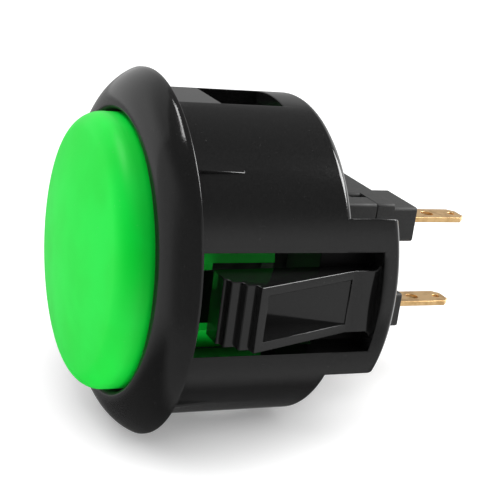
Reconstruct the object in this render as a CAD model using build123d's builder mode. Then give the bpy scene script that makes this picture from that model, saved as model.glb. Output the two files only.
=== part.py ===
from build123d import *
import os

# Arcade push button that snaps into a round panel hole.
# Millimetres. The plunger faces +Z, one snap clip faces +X and the terminals point to -Z.
# The origin is on the axis, in the plane where the flange's underside meets the panel.

# Panel fit and barrel
panel_hole_diameter = 30.0
barrel_clearance = 0.15
barrel_wall = 2.15
rear_plate_thickness = 1.7
rear_edge_radius = 0.8

# Flange round the front of the barrel
flange_cover = 1.5
flange_lip = 0.3
flange_height = 3.05
flange_bulge = 0.35
flange_crest_width = 1.05
flange_mouth_drop = 0.95

# Windows and ears on the clip sides
window_width = 9.1
window_behind_barrel = 2.8
window_reach = 3.6
strap_length = 1.8
ear_back_wall = 1.2
ear_width = 14.5

# Snap clips in the windows
clip_width = 5.7
clip_nose_depth = 2.08
clip_nose_land = 0.3
clip_nose_inset = 0.45
clip_thickness = 1.4
clip_root_inset = 1.0
clip_bend_behind_barrel = 0.4
tooth_count = 2
tooth_pitch = 1.02
tooth_rise = 0.74
tooth_slope = 0.13
nose_reach = 0.55
pocket_border = 0.85
pocket_end_border = 0.25
pocket_floor_drop = 0.3
pocket_end_drop = 0.1
clip_root_fillet = 0.6

# Slots for the plunger's hooks
slot_width = 6.1
slot_start = 5.3
slot_spare_length = 0.3
slot_to_plate = 1.6
channel_depth = 0.35

# Shallow recesses behind the flange, four in all
recess_angle = 49.2
recess_width = 2.2
recess_length = 4.9
recess_depth = 0.28
recess_tilt = 12.2
recess_corner_radius = 2.0

# Plunger
plunger_clearance = 0.3
plunger_wall = 1.6
plunger_shoulder_height = 3.6
plunger_shoulder_radius = 2.1
plunger_height = 6.8
plunger_top_thickness = 1.6
travel = 3.0
skirt_to_plate = 1.7
press_clearance = 2.4
stem_diameter = 7.0
stem_rib = 1.5
hook_gap = 0.2
hook_height = 2.4
hook_reach = 0.7
hook_width = 2.8
hook_land = 0.8
leg_side_clearance = 0.35
leg_slit_width = 0.8
leg_slit_top = 1.2
relief_clearance = 0.12
relief_top = 0.6

# Switch case
case_width = 11.0
case_length = 12.6
case_wall = 0.9
case_clearance = 0.2
case_step = 0.9
neck_height = 2.9
cover_depth = 6.5
base_thickness = 1.9
case_edge_radius = 0.3
plug_height = 1.8
plug_wall = 0.8
plug_clearance = 0.05
lug_height = 1.6
lug_gap = 1.1
lug_from_corner = 3.4

# Claws that hold the switch in the housing
claw_width = 4.0
claw_thickness = 1.2
claw_clearance = 0.3
claw_catch = 0.6
claw_hook_depth = 0.4
claw_hook_height = 0.8
claw_fit = 0.05

# Terminals and their bosses
terminal_width = 2.8
terminal_thickness = 0.5
terminal_length = 6.65
terminal_corner = 0.65
terminal_hole_diameter = 1.2
terminal_hole_from_boss = 3.0
terminal_dimple_diameter = 0.7
terminal_dimple_depth = 0.15
terminal_dimple_from_end = 0.9
terminal_fit = 0.05
boss_width = 6.0
boss_length = 3.35
boss_height = 2.45
boss_inset = 0.325

# Actuator, spring and contacts
actuator_diameter = 4.0
actuator_clearance = 0.3
stem_gap = 0.1
actuator_head = 5.2
actuator_head_height = 1.4
sleeve_diameter = 4.6
sleeve_wall = 0.5
sleeve_clearance = 0.9
spring_wire = 0.3
spring_turns = 5
spring_clearance = 0.2
ramp_rise = 0.29
ramp_width = 1.4
lever_clearance = 0.45
lever_thickness = 0.3
lever_gap = 0.15
lever_foot = 1.4
lever_lift = 0.1
contact_diameter = 1.8
contact_thickness = 0.5
contact_gap = 1.0
contact_shank_diameter = 0.9
contact_below_top = 1.2
shank_fit = 0.02

# Sizes that follow from the ones above
barrel_radius = panel_hole_diameter / 2 - barrel_clearance
bore_radius = barrel_radius - barrel_wall
flange_radius = panel_hole_diameter / 2 + flange_cover
plunger_radius = bore_radius - plunger_clearance
slot_length = hook_gap + hook_height + travel + slot_spare_length
barrel_depth = slot_start + slot_length + slot_to_plate + rear_plate_thickness
plate_front = -barrel_depth + rear_plate_thickness
skirt_depth = -plate_front - travel - skirt_to_plate
window_floor = barrel_radius - window_reach
window_end = barrel_depth + window_behind_barrel
ear_end = window_end + strap_length
clip_bend_depth = barrel_depth + clip_bend_behind_barrel
case_front = barrel_depth - neck_height
case_seam = barrel_depth + cover_depth
case_rear = case_seam + base_thickness
case_neck_width = case_width - 2 * case_step
case_neck_length = case_length - 2 * case_step
terminal_offset = case_width / 2 - boss_width / 2
terminal_spacing = case_length - boss_length - 2 * boss_inset
boss_end = case_rear + boss_height
terminal_end = boss_end + terminal_length
tongue_top = -case_seam + terminal_thickness
stem_end = -case_front + travel + press_clearance
head_top = -case_front - case_wall - stem_gap
sleeve_end = tongue_top + travel + sleeve_clearance
lever_top = head_top - travel
contact_level = lever_top - contact_below_top
plug_width = case_width - 2 * (case_wall + plug_clearance)
plug_length = case_length - 2 * (case_wall + plug_clearance)
lug_edge = case_width / 2 - lug_from_corner
lever_outside = plug_width / 2 - plug_wall - lever_clearance
lever_inside = lever_outside - ramp_width
lever_middle = lever_outside - ramp_width / 2
contact_seat = terminal_spacing / 2 - terminal_thickness / 2
lever_back = contact_seat - contact_gap - 2 * contact_thickness - lever_thickness
clear_of_all = 2 * flange_radius
ear_inside = window_floor - ear_back_wall
ear_spread = ear_width / (4 * barrel_radius**2 - ear_width**2) ** 0.5

side_planes = [Plane.XZ, Plane.XZ.rotated((0, 0, 180))]


def corner_box(low, high, mode=Mode.ADD):
    """A box from its lowest to its highest corner, in the part being built."""
    size = (b - a for a, b in zip(low, high))
    middle = tuple((a + b) / 2 for a, b in zip(low, high))
    with Locations(middle):
        Box(*size, mode=mode)


# Housing: flange, barrel, rear plate, windows, clips, slots, recesses and switch claws in one moulding
with BuildPart() as housing:
    crest = (bore_radius + flange_crest_width, flange_height)
    mouth = (bore_radius, flange_height - flange_mouth_drop)
    with BuildSketch(Plane.XZ) as barrel_section:
        with BuildLine():
            front = SagittaArc((flange_radius, flange_lip), crest, -flange_bulge)
            TangentArc(crest, mouth, tangent=front % 1)
            Polyline(
                mouth,
                (bore_radius, plate_front),
                (0, plate_front),
                (0, -ear_end),
                (barrel_radius, -ear_end),
                (barrel_radius, 0),
                (flange_radius, 0),
                (flange_radius, flange_lip),
            )
        make_face()
        fillet(barrel_section.vertices().group_by(Axis.Y)[0].sort_by(Axis.X)[-1], rear_edge_radius)
    revolve(axis=Axis.Z)

    # Ears with radial sides are what stays of the round side behind the rear plate
    with BuildSketch(Plane.XY.offset(-barrel_depth)):
        Circle(flange_radius)
        for side in (1, -1):
            with BuildLine():
                Polyline(
                    (side * ear_inside, -ear_inside * ear_spread),
                    (side * clear_of_all, -clear_of_all * ear_spread),
                    (side * clear_of_all, clear_of_all * ear_spread),
                    (side * ear_inside, ear_inside * ear_spread),
                    close=True,
                )
            make_face(mode=Mode.SUBTRACT)
    extrude(amount=-ear_end, mode=Mode.SUBTRACT)
    barrel_arcs = housing.edges().filter_by(GeomType.CIRCLE).filter_by_position(
        Axis.Z, -barrel_depth, -barrel_depth
    )
    fillet(barrel_arcs, rear_edge_radius)

    # Windows through barrel, rear plate and ears, which leave a back wall and a strap in each ear
    for side in (1, -1):
        with Locations((side * (window_floor + flange_radius) / 2, 0, -window_end / 2)):
            Box(flange_radius - window_floor, window_width, window_end, mode=Mode.SUBTRACT)

    # Hook slots, each with a shallow flat channel that leads to it from the flange
    with BuildSketch(Plane.XY.offset(-slot_start)):
        with PolarLocations(barrel_radius, 2, start_angle=90):
            Rectangle(2 * (barrel_wall + plunger_wall), slot_width)
    extrude(amount=-slot_length, mode=Mode.SUBTRACT)
    with BuildSketch():
        with PolarLocations(barrel_radius, 2, start_angle=90):
            Rectangle(2 * channel_depth, slot_width)
    extrude(amount=-slot_start, mode=Mode.SUBTRACT)

    # Recesses with a straight ledge towards the clip, whose floor leans and runs out away from it
    recess_side = Plane.XZ.rotated((0, 0, recess_angle))
    floor_side = Plane.XZ.rotated((0, 0, recess_angle - recess_tilt))
    recess_plane = Plane(
        recess_side.x_dir * (barrel_radius - recess_depth),
        x_dir=-floor_side.z_dir,
        z_dir=floor_side.x_dir,
    )
    with BuildSketch(recess_plane) as recess:
        with Locations((0, -recess_length / 2)):
            Rectangle(recess_width, recess_length)
        fillet(recess.vertices().group_by(Axis.Y)[0].sort_by(Axis.X)[-1], recess_corner_radius)
    recess_tool = extrude(amount=recess_width, mode=Mode.PRIVATE)
    recess_pair = [recess_tool, mirror(recess_tool, about=Plane.XZ, mode=Mode.PRIVATE)]
    recess_rest = [mirror(tool, about=Plane.YZ, mode=Mode.PRIVATE) for tool in recess_pair]
    add(recess_pair + recess_rest, mode=Mode.SUBTRACT)

    # Snap clips: a tongue from the strap forwards, with stepped teeth and a ridge at its free end
    root_outside = barrel_radius - clip_root_inset
    root_inside = root_outside - clip_thickness
    nose_inside = bore_radius + clip_nose_inset
    nose_outside = barrel_radius + nose_reach
    first_tooth_depth = clip_nose_depth + clip_nose_land + tooth_slope
    ridge_depth = first_tooth_depth + tooth_count * tooth_pitch
    teeth = []
    for step in range(tooth_count):
        reach = nose_outside + (step + 1) * tooth_rise
        depth = first_tooth_depth + step * tooth_pitch
        teeth.append((reach, -depth))
        teeth.append((reach, -(depth + tooth_pitch - tooth_slope)))
    ridge = (nose_outside + (tooth_count + 1) * tooth_rise, -ridge_depth)
    with BuildSketch(*side_planes):
        with BuildLine():
            Polyline(
                (root_inside, -ear_end + rear_edge_radius),
                (root_inside, -clip_bend_depth),
                (nose_inside, -clip_nose_depth),
                (nose_outside, -clip_nose_depth),
                (nose_outside, -(clip_nose_depth + clip_nose_land)),
                *teeth,
                ridge,
                (root_outside, -clip_bend_depth),
                (root_outside, -ear_end + rear_edge_radius),
                close=True,
            )
        make_face()
    extrude(amount=clip_width / 2, both=True)
    root_corners = housing.edges().filter_by(Axis.X).filter_by_position(
        Axis.Z, -window_end, -window_end
    )
    fillet(root_corners.filter_by_position(Axis.Y, -clip_width / 2, clip_width / 2), clip_root_fillet)
    pocket_front = -(ridge_depth + pocket_border)
    pocket_floor = root_outside - pocket_floor_drop
    pocket_end = -(clip_bend_depth - pocket_end_border)
    with BuildSketch(*side_planes):
        with BuildLine():
            Polyline(
                (pocket_floor, pocket_front),
                (clear_of_all, pocket_front),
                (clear_of_all, pocket_end),
                (root_outside - pocket_end_drop, pocket_end),
                close=True,
            )
        make_face()
    extrude(amount=clip_width / 2 - pocket_border, both=True, mode=Mode.SUBTRACT)

    # Opening for the switch's neck, and the claws beside it
    with BuildSketch(Plane.XY.offset(-barrel_depth)):
        Rectangle(case_neck_width + 2 * case_clearance, case_neck_length + 2 * case_clearance)
    extrude(amount=rear_plate_thickness, mode=Mode.SUBTRACT)
    claw_inside = case_width / 2 + claw_clearance
    catch_depth = case_seam + claw_hook_depth + claw_fit
    claw_end = catch_depth + claw_hook_height
    with BuildSketch(*side_planes):
        with BuildLine():
            Polyline(
                (claw_inside, plate_front),
                (claw_inside, -catch_depth),
                (claw_inside - claw_clearance - claw_catch, -catch_depth),
                (claw_inside, -claw_end),
                (claw_inside + claw_thickness, -claw_end),
                (claw_inside + claw_thickness, plate_front),
                close=True,
            )
        make_face()
    extrude(amount=claw_width / 2, both=True)

# Plunger: domed cap with a skirt, hooked legs and a cross-shaped stem
shoulder_inset = plunger_radius - plunger_shoulder_radius
crown_rise = plunger_height - plunger_shoulder_height
crown_radius = (shoulder_inset**2 + crown_rise**2 - plunger_shoulder_radius**2) / (
    2 * (crown_rise - plunger_shoulder_radius)
)
crown_share = crown_radius / (crown_radius - plunger_shoulder_radius)
crown_centre = plunger_height - crown_radius
crown_edge = (
    shoulder_inset * crown_share,
    crown_centre + (plunger_shoulder_height - crown_centre) * crown_share,
)
ceiling = plunger_shoulder_height + plunger_shoulder_radius - plunger_top_thickness
hook_top = -slot_start - hook_gap
leg_width = slot_width - 2 * leg_side_clearance
leg_inside = plunger_radius - plunger_wall
with BuildPart() as plunger:
    with BuildSketch(Plane.XZ):
        with BuildLine():
            Polyline(
                (0, plunger_height),
                (0, ceiling),
                (leg_inside, ceiling),
                (leg_inside, -skirt_depth),
                (plunger_radius, -skirt_depth),
                (plunger_radius, plunger_shoulder_height),
            )
            shoulder = TangentArc((plunger_radius, plunger_shoulder_height), crown_edge, tangent=(0, 1))
            TangentArc(crown_edge, (0, plunger_height), tangent=shoulder % 1)
        make_face()
    revolve(axis=Axis.Z)

    # Slits leave two springy legs in the skirt, and each leg's hook stands in its slot
    with BuildSketch(Plane.XY.offset(-leg_slit_top)):
        with GridLocations(leg_width + leg_slit_width, 0, 2, 1):
            Rectangle(leg_slit_width, clear_of_all)
    extrude(amount=-skirt_depth, mode=Mode.SUBTRACT)
    with BuildSketch(Plane.YZ, Plane.YZ.rotated((0, 0, 180))):
        with BuildLine():
            Polyline(
                (leg_inside + plunger_wall / 2, hook_top),
                (plunger_radius + hook_reach, hook_top),
                (plunger_radius + hook_reach, hook_top - hook_land),
                (plunger_radius, hook_top - hook_height),
                (leg_inside + plunger_wall / 2, hook_top - hook_height),
                close=True,
            )
        make_face()
    extrude(amount=hook_width / 2, both=True)

    # Notches that leave the clips room to bend inwards
    relief_width = clip_width + 2 * relief_clearance
    with BuildSketch(Plane.XY.offset(-relief_top)):
        with PolarLocations(plunger_radius, 2):
            Rectangle(2 * (plunger_wall + barrel_wall), relief_width)
    extrude(amount=-skirt_depth, mode=Mode.SUBTRACT)

    # Stem that reaches down to the actuator
    with BuildSketch(Plane.XY.offset(ceiling)):
        Rectangle(stem_diameter, stem_rib)
        Rectangle(stem_rib, stem_diameter)
    extrude(amount=stem_end - ceiling)

# Switch cover: a stepped box, open at the rear, whose neck passes through the housing's rear plate
with BuildPart() as switch_cover:
    corner_box(
        (-case_width / 2, -case_length / 2, -case_seam),
        (case_width / 2, case_length / 2, -barrel_depth),
    )
    corner_box(
        (-case_neck_width / 2, -case_neck_length / 2, -barrel_depth),
        (case_neck_width / 2, case_neck_length / 2, -case_front),
    )
    fillet(switch_cover.edges().filter_by(Axis.Z), case_edge_radius)
    corner_box(
        (case_wall - case_width / 2, case_wall - case_length / 2, -case_seam),
        (case_width / 2 - case_wall, case_length / 2 - case_wall, -barrel_depth - case_wall),
        mode=Mode.SUBTRACT,
    )
    corner_box(
        (case_wall - case_neck_width / 2, case_wall - case_neck_length / 2, -barrel_depth - case_wall),
        (case_neck_width / 2 - case_wall, case_neck_length / 2 - case_wall, -case_front - case_wall),
        mode=Mode.SUBTRACT,
    )
    with Locations((0, 0, -case_front)):
        Hole(actuator_diameter / 2 + actuator_clearance, depth=2 * case_wall)

    # Room for the base's lugs, with a slit beside each
    for side in (1, -1):
        lug_room = sorted((side * (plug_length / 2 - plug_clearance), side * case_length))
        corner_box(
            (-case_width, lug_room[0], -case_seam),
            (lug_edge + lug_gap, lug_room[1], -case_seam + lug_height + plug_clearance),
            mode=Mode.SUBTRACT,
        )

# Switch base: rear plate with side lugs, a plug that enters the cover, bosses and slots for the terminals
boss_places = [(terminal_offset, side * terminal_spacing / 2) for side in (1, -1)]
with BuildPart() as switch_base:
    corner_box(
        (-case_width / 2, -case_length / 2, -case_rear),
        (case_width / 2, case_length / 2, -case_seam),
    )
    for side in (1, -1):
        lug_sides = sorted((side * plug_length / 2, side * case_length / 2))
        corner_box(
            (-case_width / 2, lug_sides[0], -case_seam),
            (lug_edge, lug_sides[1], -case_seam + lug_height),
        )
    upright_edges = switch_base.edges().filter_by(Axis.Z).group_by(Axis.Y)
    fillet(upright_edges[0] + upright_edges[-1], case_edge_radius)
    with BuildSketch(Plane.XY.offset(-case_seam)):
        Rectangle(plug_width, plug_length)
        Rectangle(plug_width - 2 * plug_wall, plug_length - 2 * plug_wall, mode=Mode.SUBTRACT)
    extrude(amount=plug_height)
    with BuildSketch(Plane.XY.offset(-case_rear)):
        with Locations(*boss_places):
            RectangleRounded(boss_width, boss_length, case_edge_radius)
    extrude(amount=case_rear - boss_end)
    slot_size = (terminal_width + 2 * terminal_fit, terminal_thickness + 2 * terminal_fit)
    with BuildSketch(Plane.XY.offset(-boss_end)):
        with Locations(*boss_places):
            Rectangle(*slot_size)
    extrude(amount=boss_end - case_seam + plug_height, mode=Mode.SUBTRACT)
    notch_floor = case_width / 2 - claw_catch - claw_fit
    for side in (1, -1):
        notch_ends = sorted((side * notch_floor, side * case_width))
        corner_box(
            (notch_ends[0], -claw_width / 2 - claw_clearance, -case_rear),
            (notch_ends[1], claw_width / 2 + claw_clearance, -case_seam - claw_hook_depth),
            mode=Mode.SUBTRACT,
        )

# Terminals: flat tabs with trimmed corners, a hole and a dimple
terminal_parts = {}
for terminal_name, terminal_side, terminal_start in (
    ("common_terminal", -1, tongue_top),
    ("contact_terminal", 1, lever_top),
):
    middle = terminal_side * terminal_spacing / 2
    with BuildPart() as terminal:
        with BuildSketch(Plane.XZ.offset(-middle)) as tab:
            with Locations((terminal_offset, (terminal_start - terminal_end) / 2)):
                Rectangle(terminal_width, terminal_start + terminal_end)
            chamfer(tab.vertices().group_by(Axis.Y)[0], terminal_corner)
            with Locations((terminal_offset, -boss_end - terminal_hole_from_boss)):
                Circle(terminal_hole_diameter / 2, mode=Mode.SUBTRACT)
        extrude(amount=terminal_thickness / 2, both=True)
        dimple_face = Plane.XZ.offset(-middle - terminal_thickness / 2)
        with BuildSketch(dimple_face):
            with Locations((terminal_offset, -terminal_end + terminal_dimple_from_end)):
                Circle(terminal_dimple_diameter / 2)
        extrude(amount=terminal_dimple_depth, mode=Mode.SUBTRACT)
        if terminal_side < 0:
            corner_box(
                (lever_inside, middle - terminal_thickness / 2, -case_seam),
                (lever_outside, lever_back + 2 * lever_thickness, tongue_top),
            )
        else:
            with BuildSketch(Plane.XZ.offset(-middle)):
                with Locations((lever_middle, contact_level)):
                    Circle(contact_shank_diameter / 2 + shank_fit)
            extrude(amount=terminal_thickness, both=True, mode=Mode.SUBTRACT)
    terminal_parts[terminal_name] = terminal.part

# Actuator: a round post, a head that stops under the cover's roof, a spring sleeve and a ramp for the lever
actuator_top = stem_end - stem_gap
ramp_face = lever_back - lever_gap
ramp_top = ramp_face + ramp_rise * travel
with BuildPart() as switch_actuator:
    with BuildSketch(Plane.XY.offset(head_top)):
        Circle(actuator_diameter / 2)
    extrude(amount=actuator_top - head_top)
    chamfer(switch_actuator.edges().group_by(Axis.Z)[-1], case_edge_radius)
    corner_box(
        (-actuator_head / 2, -actuator_head / 2, head_top - actuator_head_height),
        (lever_outside, ramp_face, head_top),
    )
    with BuildSketch(Plane.XY.offset(head_top)):
        Circle(sleeve_diameter / 2)
    extrude(amount=sleeve_end - head_top)
    with BuildSketch(Plane.YZ.offset(lever_inside)):
        with BuildLine():
            Polyline(
                (0, head_top),
                (ramp_top, head_top),
                (ramp_face - ramp_rise * (lever_top - sleeve_end), sleeve_end),
                (0, sleeve_end),
                close=True,
            )
        make_face()
    extrude(amount=ramp_width)
    with BuildSketch(Plane.XY.offset(sleeve_end)):
        Circle(sleeve_diameter / 2 - sleeve_wall)
    extrude(amount=head_top - actuator_head_height - sleeve_end, mode=Mode.SUBTRACT)

# Return spring between the base's floor and the actuator's sleeve
spring_radius = sleeve_diameter / 2 - sleeve_wall - spring_clearance - spring_wire / 2
spring_floor = -case_seam + spring_wire / 2
spring_roof = head_top - actuator_head_height - spring_wire / 2
with BuildPart() as return_spring:
    with BuildLine() as coil:
        Helix(
            pitch=(spring_roof - spring_floor) / spring_turns,
            height=spring_roof - spring_floor,
            radius=spring_radius,
            center=(0, 0, spring_floor),
        )
    with BuildSketch(Plane(coil.line @ 0, z_dir=coil.line % 0)):
        RegularPolygon(spring_wire / 2, 6)
    sweep(is_frenet=True)

# Contact lever: a bent blade that rocks on the common terminal's tongue
lever_bottom = tongue_top + lever_lift
with BuildPart() as contact_lever:
    corner_box(
        (lever_inside, lever_back, lever_bottom),
        (lever_outside, lever_back + lever_thickness, lever_top),
    )
    corner_box(
        (lever_inside, lever_back - lever_foot, lever_bottom),
        (lever_outside, lever_back, lever_bottom + lever_thickness),
    )
    fillet(contact_lever.edges().filter_by(Axis.X).group_by(Axis.Z)[0].sort_by(Axis.Y)[-1], lever_thickness)
    with BuildSketch(Plane.XZ.offset(-lever_back)):
        with Locations((lever_middle, contact_level)):
            Circle(contact_shank_diameter / 2 + shank_fit)
    extrude(amount=-lever_thickness, mode=Mode.SUBTRACT)

# Contacts: riveted buttons that face each other across the gap
contact_parts = {}
for contact_name, seat, shank_length, facing in (
    ("moving_contact", lever_back + lever_thickness, lever_thickness, 1),
    ("fixed_contact", contact_seat, terminal_thickness, -1),
):
    with BuildPart() as contact:
        with BuildSketch(Plane.XZ.offset(-seat)):
            with Locations((lever_middle, contact_level)):
                Circle(contact_diameter / 2)
        extrude(amount=-facing * contact_thickness)
        with BuildSketch(Plane.XZ.offset(-seat)):
            with Locations((lever_middle, contact_level)):
                Circle(contact_shank_diameter / 2)
        extrude(amount=facing * shank_length)
    contact_parts[contact_name] = contact.part

pieces = {
    "housing": housing.part,
    "plunger": plunger.part,
    "switch_cover": switch_cover.part,
    "switch_base": switch_base.part,
    "switch_actuator": switch_actuator.part,
    "return_spring": return_spring.part,
    "contact_lever": contact_lever.part,
    **terminal_parts,
    **contact_parts,
}
os.makedirs("parts", exist_ok=True)
for piece_name, piece in pieces.items():
    piece.label = piece_name
    export_step(piece, f"parts/{piece_name}.step")
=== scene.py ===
import math
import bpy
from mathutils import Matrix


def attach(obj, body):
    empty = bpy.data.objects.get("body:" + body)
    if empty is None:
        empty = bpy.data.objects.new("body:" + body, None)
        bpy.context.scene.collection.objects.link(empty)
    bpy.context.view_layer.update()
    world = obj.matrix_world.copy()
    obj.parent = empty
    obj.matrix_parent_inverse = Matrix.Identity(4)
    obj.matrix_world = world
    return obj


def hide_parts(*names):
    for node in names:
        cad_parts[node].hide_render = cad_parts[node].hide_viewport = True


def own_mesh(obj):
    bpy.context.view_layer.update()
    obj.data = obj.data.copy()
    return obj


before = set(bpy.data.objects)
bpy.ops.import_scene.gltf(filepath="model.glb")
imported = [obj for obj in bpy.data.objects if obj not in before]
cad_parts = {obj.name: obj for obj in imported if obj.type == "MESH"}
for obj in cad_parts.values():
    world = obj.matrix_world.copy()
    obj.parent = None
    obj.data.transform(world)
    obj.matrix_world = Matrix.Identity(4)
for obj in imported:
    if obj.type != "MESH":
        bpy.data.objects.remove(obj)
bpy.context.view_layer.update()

import types

import bmesh
import bpy
from mathutils import Matrix, Vector

bl_info = {
    "name": "Arcade push button",
    "version": (1, 0, 0),
    "blender": (4, 5, 0),
    "location": "3D View > Sidebar > Push button",
    "description": "Dresses a snap-in push button and sets its stage",
    "category": "Object",
}

MM = 0.001
SHARP_ANGLE = math.radians(50)

# In millimetres: vertices that are nearer than MERGE_DISTANCE become one, a cutting tool passes
# the form by CLEAR, and a form sinks by SINK into the one that it is joined to
MERGE_DISTANCE = 0.0005
CLEAR = 1.0
SINK = 0.3


# Settings that a user would change

def length(name, description, millimetres):
    """A length property, given in millimetres and kept in Blender's own unit."""
    return bpy.props.FloatProperty(
        name=name, description=description, default=millimetres * MM, unit="LENGTH", precision=5
    )


def turn(name, description, degrees):
    """An angle property, given in degrees."""
    return bpy.props.FloatProperty(
        name=name, description=description, default=math.radians(degrees), subtype="ANGLE"
    )


def colour(name, description, value):
    """A colour property."""
    return bpy.props.FloatVectorProperty(
        name=name, description=description, default=value, subtype="COLOR", min=0, max=1
    )


def settings_of(kind, name, description):
    """A property that holds a group of settings."""
    return bpy.props.PointerProperty(type=kind, name=name, description=description)


class HousingSizes(bpy.types.PropertyGroup):
    """Sizes of the black housing."""

    barrel_radius: length("Barrel radius", "Outside of the barrel, for the panel hole", 14.85)
    bore_radius: length("Bore radius", "Inside of the barrel, where the plunger slides", 12.7)
    barrel_depth: length("Barrel depth", "Flange underside to rear face", 14.5)
    plate: length("Rear plate", "Thickness of the plate behind the bore", 1.7)
    rear_round: length("Rear round", "Radius of the rear outside edges", 0.8)
    flange_radius: length("Flange radius", "Outside of the flange", 16.5)
    flange_lip: length("Flange lip", "Height of the flange's upright edge", 0.3)
    flange_height: length("Flange height", "Height of the flange's crest", 2.85)
    flange_bulge: length("Flange bulge", "How far the flange's slope bows outwards", 0.5)
    crest_width: length("Crest width", "Flange crest to bore", 0.4)
    mouth_drop: length("Mouth drop", "Flange crest to the start of the bore", 0.3)
    window_width: length("Window width", "Opening round each snap clip", 9.1)
    window_floor: length("Window floor", "Distance of the window's floor from the axis", 11.25)
    window_end: length("Window end", "Depth of the window behind the flange", 17.3)
    ear_width: length("Ear width", "Width of each rear ear", 14.5)
    ear_end: length("Ear end", "Depth of the ears behind the flange", 19.1)
    ear_inside: length("Ear inside", "Distance of the ear's inner face from the axis", 10.05)
    slot_width: length("Hook slot width", "Width of the slots for the plunger's hooks", 6.1)
    slot_start: length("Hook slot start", "Near end of the hook slots", 5.3)
    slot_end: length("Hook slot end", "Far end of the hook slots", 11.2)
    channel_floor: length("Channel floor", "Distance of the channel's floor from the axis", 14.5)
    rib_angle: turn("Rib angle", "Angle of the low ribs behind the flange, from the clips", 48.6)
    rib_width: length("Rib width", "Width of the ribs round the barrel", 2.4)
    rib_length: length("Rib length", "Length of the ribs behind the flange", 4.9)
    rib_round: length("Rib round", "Radius of the rib's corner away from the clip", 2.0)
    rib_height: length("Rib height", "Height of the rib's crest at the flange", 0.42)
    rib_side: length("Rib side", "Height of the rib's side away from the clip", 0.06)
    rib_fall: length("Rib fall", "How far the rib falls over its length", 0.32)
    neck_width: length("Neck opening width", "Opening for the switch's neck, along X", 9.6)
    neck_length: length("Neck opening length", "Opening for the switch's neck, along Y", 11.2)
    edge_round: length("Edge round", "Radius of the moulded edges", 0.09)


class ClipSizes(bpy.types.PropertyGroup):
    """Sizes of the snap clips and the switch claws, which are moulded with the housing."""

    width: length("Clip width", "Width of the clip", 5.7)
    root_inside: length("Root inside", "Inner face of the clip at its root", 12.45)
    root_outside: length("Root outside", "Outer face of the clip at its root", 13.85)
    root_depth: length("Root depth", "Depth of the clip's end inside the strap", 18.3)
    bend_depth: length("Bend depth", "Depth at which the clip starts to lean out", 14.9)
    nose_inside: length("Nose inside", "Inner face of the clip at its nose", 13.15)
    nose_outside: length("Nose outside", "Outer face of the nose", 15.4)
    nose_depth: length("Nose depth", "Depth of the nose behind the flange", 2.08)
    nose_land: length("Nose land", "Length of the nose's flat", 0.3)
    tooth_pitch: length("Tooth pitch", "Depth of each step", 1.02)
    tooth_rise: length("Tooth rise", "Height of each step", 0.74)
    tooth_slope: length("Tooth slope", "Lean of each step's face", 0.13)
    pocket_border: length("Pocket border", "Rim round the clip's pocket", 0.85)
    pocket_end_border: length("Pocket end border", "Rim between the pocket and the bend", 0.25)
    pocket_drop: length("Pocket drop", "Depth of the pocket's floor below the root", 0.3)
    pocket_end_drop: length("Pocket end drop", "Depth of the floor's far end below the root", 0.04)
    root_fillet: length("Root fillet", "Radius where the clip's sides meet the strap", 0.6)
    edge_round: length("Clip edge round", "Radius of the clip's edges", 0.1)
    claw_width: length("Claw width", "Width of the claws that hold the switch", 4.0)
    claw_inside: length("Claw inside", "Inner face of the claw", 5.8)
    claw_thickness: length("Claw thickness", "Thickness of the claw", 1.2)
    claw_catch: length("Claw catch", "Reach of the claw's catch", 0.9)
    claw_catch_depth: length("Catch depth", "Depth of the catch behind the flange", 21.45)
    claw_end: length("Claw end", "Depth of the claw's end", 22.25)


class PlungerSizes(bpy.types.PropertyGroup):
    """Sizes of the green plunger."""

    radius: length("Plunger radius", "Outside of the cap and skirt", 12.4)
    wall: length("Plunger wall", "Wall of the skirt", 1.6)
    shoulder_height: length("Shoulder height", "Height at which the shoulder starts", 3.6)
    shoulder_round: length("Shoulder round", "Radius of the shoulder", 2.1)
    height: length("Plunger height", "Height of the dome's middle", 6.8)
    ceiling: length("Ceiling", "Height of the cap's underside", 4.1)
    skirt_depth: length("Skirt depth", "Depth of the skirt's end", 8.1)
    leg_width: length("Leg width", "Width of each springy leg in the skirt", 5.4)
    slit_width: length("Slit width", "Width of the slits beside the legs", 0.8)
    slit_top: length("Slit top", "Depth at which the slits start", 1.2)
    hook_width: length("Hook width", "Width of each hook", 2.8)
    hook_reach: length("Hook reach", "How far a hook stands out", 0.7)
    hook_depth: length("Hook depth", "Depth of the hook's upper face", 5.5)
    hook_land: length("Hook land", "Flat on the hook's outside", 0.8)
    hook_end: length("Hook end", "Depth at which the hook runs out", 7.9)
    notch_width: length("Notch width", "Notch that leaves room for a clip", 5.94)
    notch_top: length("Notch top", "Depth at which the notch starts", 0.6)
    stem_width: length("Stem width", "Width of the cross-shaped stem", 7.0)
    stem_rib: length("Stem rib", "Thickness of the stem's ribs", 1.5)
    stem_depth: length("Stem depth", "Depth of the stem's end", 6.2)
    edge_round: length("Plunger edge round", "Radius of the skirt's edges", 0.08)


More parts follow.
